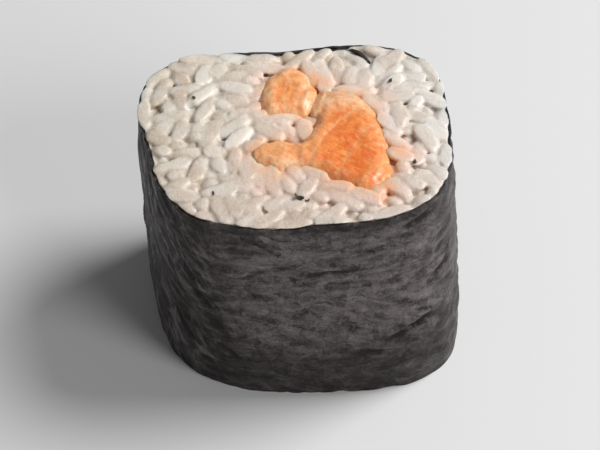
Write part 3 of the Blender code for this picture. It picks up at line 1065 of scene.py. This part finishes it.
def hold_grain(grain_places, to_wall):
    """Draws a grain in behind the nori, except where it spills over the rim."""
    x, y, z = grain_places.T
    spill = RIM_SPILL * ramp(z - CUT_LENGTH, -0.1 * MM, 0.4 * MM)
    beyond = np.maximum(0.0, -sample(to_wall, x, y) - spill)
    side_x, side_y = slope(to_wall, x, y)
    grain_places[:, 0] += side_x * beyond
    grain_places[:, 1] += side_y * beyond


def press_flat(obj):
    """Presses the grains of the upper cut together, so the creases between them are shallow."""
    places = places_of(obj)
    level = cut_level(places[:, 0], places[:, 1])
    least = RELIEF_KEPT * RELIEF_DEPTH
    depth = np.interp(
        level - places[:, 2], [-RELIEF_DEPTH, RELIEF_DEPTH, RELIEF_END, CUT_LENGTH * 2],
        [-least, least, RELIEF_END, CUT_LENGTH * 2])
    places[:, 2] = level - depth
    move_to(obj, places)


def nori_limits():
    """The nori's inner face as tables over the height and the angle, and the height of its rim."""
    around = np.linspace(0, 2 * math.pi, LIMIT_POINTS, endpoint=False)
    radii = []
    for up in np.linspace(0, 1, LIMIT_ROWS):
        face = sheet_face(around, np.full(LIMIT_POINTS, up), SHEET_THICKNESS)
        polar = np.arctan2(face[:, 1], face[:, 0])
        radii.append(np.interp(around, polar, np.hypot(face[:, 0], face[:, 1]), period=2 * math.pi))
    return np.array(radii), np.interp(around, polar, face[:, 2], period=2 * math.pi)


def hold_in_nori(obj):
    """Draws the rice in behind the nori, except where grains spill over its rim."""
    places = places_of(obj)
    radii, rims = nori_limits()
    u = np.clip(places[:, 2] / CUT_LENGTH, 0, 1) * (LIMIT_ROWS - 1.001)
    v = np.arctan2(places[:, 1], places[:, 0]) % (2 * math.pi) / (2 * math.pi) * LIMIT_POINTS
    i, j = u.astype(int), v.astype(int) % LIMIT_POINTS
    p, q = u - i, v - v.astype(int)
    after = (j + 1) % LIMIT_POINTS
    low = radii[i, j] * (1 - p) + radii[i + 1, j] * p
    high = radii[i, after] * (1 - p) + radii[i + 1, after] * p
    from_cut = np.minimum(places[:, 2], CUT_LENGTH - places[:, 2])
    spill = RIM_SPILL * ramp(places[:, 2] - rims[j], 0.05 * MM, 0.3 * MM)
    gap = NORI_GAP + HIDDEN_GAP * ramp(from_cut, HIDDEN_FROM, HIDDEN_REACH) - spill
    radius = np.hypot(places[:, 0], places[:, 1])
    share = np.minimum(1.0, (low * (1 - q) + high * q - gap) / radius)
    places[:, :2] *= share[:, None]
    move_to(obj, places)


def thin_out(obj, low, high, kept):
    """Leaves that share of the faces between two heights."""
    height = places_of(obj)[:, 2]
    chosen = (height > low) & (height <= high)
    group = obj.vertex_groups.new(name="thin")
    group.add([int(i) for i in np.nonzero(chosen)[0]], 1.0, "REPLACE")
    fewer = obj.modifiers.new("fewer_faces", "DECIMATE")
    fewer.ratio = 1 - (1 - kept) * chosen.mean()
    fewer.vertex_group = "thin"
    apply_modifiers(obj)
    obj.vertex_groups.remove(obj.vertex_groups["thin"])


def join_as(name, pieces):
    """Joins the pieces into the last of them, under this name."""
    only(pieces[-1])
    for piece in pieces:
        piece.select_set(True)
    bpy.ops.object.join()
    joined = bpy.context.object
    joined.name = name
    return joined


rice_look = rice_material()
shapes = [grain_shape(*kind) for kind in GRAIN_KINDS]
shape_places = [places_of(shape) for shape in shapes]
rooms = {
    "top": room_at(CUT_LENGTH, [top for top, foot in sections.values()]),
    "foot": room_at(0.0, [foot for top, foot in sections.values()]),
}
grains = []
tones = []
nearest_grain = kdtree.KDTree(len(rooms) * len(MARKS) * (TOP_GRAINS + LOWER_GRAINS))
for end, (to_wall, to_nori, to_fish) in rooms.items():
    middles, axes, sizes = pack_grains(to_nori, to_fish)
    for middle, axis, size in zip(middles, axes, sizes):
        kind = int(dice.integers(len(shapes)))
        roll = Matrix.Rotation(dice.normal(0, GRAIN_ROLL), 3, "X")
        turned = Vector(axis).to_track_quat("X", "Z").to_matrix() @ roll
        grain_places = shape_places[kind] * size
        dimples = noise_field(grain_places / MM + dice.uniform(0, 50, 3), DIMPLE_SCALE)
        grain_places *= 1 + (GRAIN_DIMPLE / (GRAIN_WIDTH / 2) * 2 * dimples)[:, None] * (0.3, 1, 1)
        grain_places = grain_places @ np.array(turned).T + middle
        if end == "top":
            cut_off(grain_places, middle)
        else:
            over = np.logaddexp(0, -2 * grain_places[:, 2] / KNIFE_GIVE)
            grain_places[:, 2] = KNIFE_GIVE / 2 * over
        hold_grain(grain_places, to_wall)
        grain = shapes[kind].copy()
        grain.data = shapes[kind].data.copy()
        bpy.context.scene.collection.objects.link(grain)
        move_to(grain, grain_places)
        for share in MARKS:
            arm = Vector(axis) * size[0] * share
            height = middle[2] + arm.z
            height = CUT_LENGTH + height if end == "top" else -height
            nearest_grain.insert((middle[0] + arm.x, middle[1] + arm.y, height), len(tones))
        grains.append(grain)
        tones.append(float(np.clip(dice.normal(TONE, TONE_SCATTER), 0, 1)))
nearest_grain.balance()
for shape in shapes:
    bpy.data.objects.remove(shape)

rice = join_as("rice_grains", grains + [mass_of_rice()])
stick = rice.modifiers.new("stick_together", "REMESH")
stick.mode = "VOXEL"
stick.voxel_size = RICE_STEP
apply_modifiers(rice)
gather_starch(rice)
press_flat(rice)
soften = rice.modifiers.new("soften", "SMOOTH")
soften.factor = 0.5
soften.iterations = 2
apply_modifiers(rice)
hold_in_nori(rice)
thin_out(rice, FOOT_ZONE, CUT_LENGTH - TOP_ZONE, KEPT_BETWEEN)
thin_out(rice, -MM, FOOT_ZONE, KEPT_AT_FOOT)
thin_out(rice, CUT_LENGTH - TOP_ZONE, CUT_LENGTH + 2 * MM, KEPT_AT_TOP)

places = raise_to_floor(rice)
x, y, z = places.T
to_fish = np.where(
    z > roll_middle, sample(rooms["top"][2], x, y), sample(rooms["foot"][2], x, y))
stain = STAIN * np.exp(-np.maximum(0.0, to_fish) / STAIN_REACH)
for smear_x, smear_y, reach, strength in SMEARS:
    away = (x - smear_x * MM) ** 2 + (y - smear_y * MM) ** 2
    stain += strength * np.exp(-away / (reach * MM) ** 2)
set_attribute(rice, "stain", np.clip(stain, 0, MOST_STAIN))
# Each place takes its nearest grain's tone, and how near it lies to a crease, where shade is
# painted.
tone, crease = [], []
for place in places:
    near = nearest_grain.find_n(place, MARKS_SEARCHED)
    _, grain, distance = near[0]
    beside = next((far for _, other, far in near if other != grain), 1.0)
    tone.append(tones[grain])
    crease.append(beside - distance)
set_attribute(rice, "tone", tone)
set_attribute(rice, "crease", 1 - smooth_step(np.array(crease) / SEAM_WIDTH))
bpy.ops.object.shade_smooth()
rice.data.materials.clear()
rice.data.materials.append(rice_look)
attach(rice, "root")
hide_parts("rice")


# ---- Nori crumbs -----------------------------------------------------------------------------
# Flecks that the knife has torn off the sheet and left on the cut. They lie pressed onto the
# rice, a little curled.

# Place on the cut and width in millimetres, and turn in degrees.
CRUMBS = (
    (0.8, -8.3, 0.80, 30),
    (1.5, -8.9, 0.40, 80),
    (11.0, -4.1, 0.52, 100),
    (-6.9, -8.6, 0.42, 150),
    (9.0, 6.1, 0.45, 70),
    (-9.6, 3.8, 0.38, 10),
)
CRUMB_THICKNESS = 0.07 * MM
CRUMB_LIFT = 0.7
CRUMB_SEARCH = 0.2 * MM
CRUMB_SIDES = 22
CRUMB_TEARS = ((1.0, 1.0), (2.6, 0.7))
# For its width, how far a crumb's rim is inset, and how ragged, narrow, wavy and curled it is.
CRUMB_INSET = 0.18
CRUMB_RAGGED = 0.9
CRUMB_NARROW = 0.6
CRUMB_WAVE = 0.14
CRUMB_CURL = 0.7
DARK_CRUMB = (0.022, 0.014, 0.010, 1)
LIGHT_CRUMB = (0.095, 0.066, 0.046, 1)


def flattest_spot(x, y):
    """Place and normal of the most level spot of the rice near by, so no crumb is in a crease."""
    spots = []
    for i in range(-2, 3):
        for j in range(-2, 3):
            above = Vector((x + i * CRUMB_SEARCH, y + j * CRUMB_SEARCH, CUT_LENGTH * 2))
            _, place, normal, _ = rice.ray_cast(above, Vector((0, 0, -1)))
            spots.append((normal.z, place, normal))
    _, place, normal = max(spots, key=lambda spot: spot[0])
    return place, normal


crumbs = []
for x, y, width, turn in CRUMBS:
    place, normal = flattest_spot(x * MM, y * MM)
    width, turn = width * MM, math.radians(turn)
    bpy.ops.object.select_all(action="DESELECT")
    bpy.ops.mesh.primitive_circle_add(vertices=CRUMB_SIDES, radius=width / 2, fill_type="NGON")
    crumb = bpy.context.object
    bpy.ops.object.mode_set(mode="EDIT")
    bpy.ops.mesh.select_all(action="SELECT")
    bpy.ops.mesh.inset(thickness=width * CRUMB_INSET)
    bpy.ops.mesh.poke()
    bpy.ops.object.mode_set(mode="OBJECT")
    shape = places_of(crumb)
    torn = layered_noise(shape / width * 2 + 70 * turn, CRUMB_TEARS)
    shape[:, :2] *= (1 + CRUMB_RAGGED * torn)[:, None]
    shape[:, 1] *= CRUMB_NARROW
    shape[:, 2] += CRUMB_WAVE * width * torn + CRUMB_CURL * shape[:, 0] ** 2 / width
    tilt = normal.to_track_quat("Z", "Y").to_matrix() @ Matrix.Rotation(turn, 3, "Z")
    lifted = np.array(place + normal * CRUMB_THICKNESS * CRUMB_LIFT)
    move_to(crumb, shape @ np.array(tilt).T + lifted)
    thicken = crumb.modifiers.new("thickness", "SOLIDIFY")
    thicken.thickness = CRUMB_THICKNESS
    thicken.offset = 0
    rounded = crumb.modifiers.new("rounded", "SUBSURF")
    rounded.levels = rounded.render_levels = 1
    apply_modifiers(crumb)
    crumbs.append(crumb)
crumbs = join_as("nori_crumbs", crumbs)
bpy.ops.object.shade_smooth()

crumb_look, tree, shader = new_material("nori_crumb")
place = add_node(tree, "ShaderNodeTexCoord").outputs["Object"]
torn = cloud(tree, place, 3800.0, 3.0, 0.6)
body = blend_colours(tree, spread(tree, torn, 0.35, 0.7), DARK_CRUMB, LIGHT_CRUMB)
cover(tree, shader, body, spread(tree, torn, 0.3, 0.7, 0.35, 0.6), torn, 0.5, 0.05 * MM)
crumbs.data.materials.append(crumb_look)
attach(crumbs, "root")


# ---- Stage, lights and camera ----------------------------------------------------------------
# A plain pale floor under one large soft lamp from the right and a little behind, with a weaker
# one from the front right. The camera looks down at the roll from the front, tilted a little.

FLOOR_SIZE = 3
PALE_FLOOR = (0.74, 0.74, 0.74, 1)
# Each lamp's azimuth from the back and elevation in degrees, distance, size and power.
LAMPS = {"key": (70, 49, 0.6, 0.32, 3.6), "fill": (130, 34, 0.7, 0.3, 1.9)}
STUDIO_LIGHT = 0.13
VIEW_AZIMUTH = math.radians(6.7)
VIEW_ELEVATION = math.radians(44.9)
VIEW_TILT = math.radians(-4.4)
VIEW_DISTANCE = 0.45
VIEW_WIDTH = 56 * MM
VIEW_HEIGHT = CUT_LENGTH * 0.46

bpy.ops.object.select_all(action="DESELECT")
bpy.ops.mesh.primitive_plane_add(size=FLOOR_SIZE)
floor = bpy.context.object
floor.name = "floor"
floor_look, tree, shader = new_material("pale_floor")
shader.inputs["Base Color"].default_value = PALE_FLOOR
shader.inputs["Roughness"].default_value = 0.45
floor.data.materials.append(floor_look)

for name, (azimuth, elevation, distance, size, power) in LAMPS.items():
    a, e = math.radians(azimuth), math.radians(elevation)
    lamp = bpy.data.lights.new(name, "AREA")
    lamp.shape = "DISK"
    lamp.size = size
    lamp.energy = power
    holder = bpy.data.objects.new(name, lamp)
    bpy.context.scene.collection.objects.link(holder)
    direction = Vector((math.sin(a) * math.cos(e), math.cos(a) * math.cos(e), math.sin(e)))
    holder.location = Vector((0, 0, CUT_LENGTH / 2)) + direction * distance
    holder.rotation_euler = direction.to_track_quat("Z", "Y").to_euler()

world = bpy.data.worlds.new("studio")
bpy.context.scene.world = world
world.use_nodes = True
world.node_tree.nodes["Background"].inputs["Color"].default_value = (1, 1, 1, 1)
world.node_tree.nodes["Background"].inputs["Strength"].default_value = STUDIO_LIGHT

camera_data = bpy.data.cameras.new("camera")
camera = bpy.data.objects.new("camera", camera_data)
bpy.context.scene.collection.objects.link(camera)
back = Vector((math.sin(VIEW_AZIMUTH) * math.cos(VIEW_ELEVATION),
               -math.cos(VIEW_AZIMUTH) * math.cos(VIEW_ELEVATION), math.sin(VIEW_ELEVATION)))
camera.location = Vector((0, 0, VIEW_HEIGHT)) + back * VIEW_DISTANCE
turned = back.to_track_quat("Z", "Y").to_matrix() @ Matrix.Rotation(VIEW_TILT, 3, "Z")
camera.rotation_euler = turned.to_euler()
camera_data.lens = camera_data.sensor_width * VIEW_DISTANCE / VIEW_WIDTH
camera_data.clip_start = 0.01
bpy.context.scene.camera = camera
bpy.context.scene.view_settings.view_transform = "Standard"
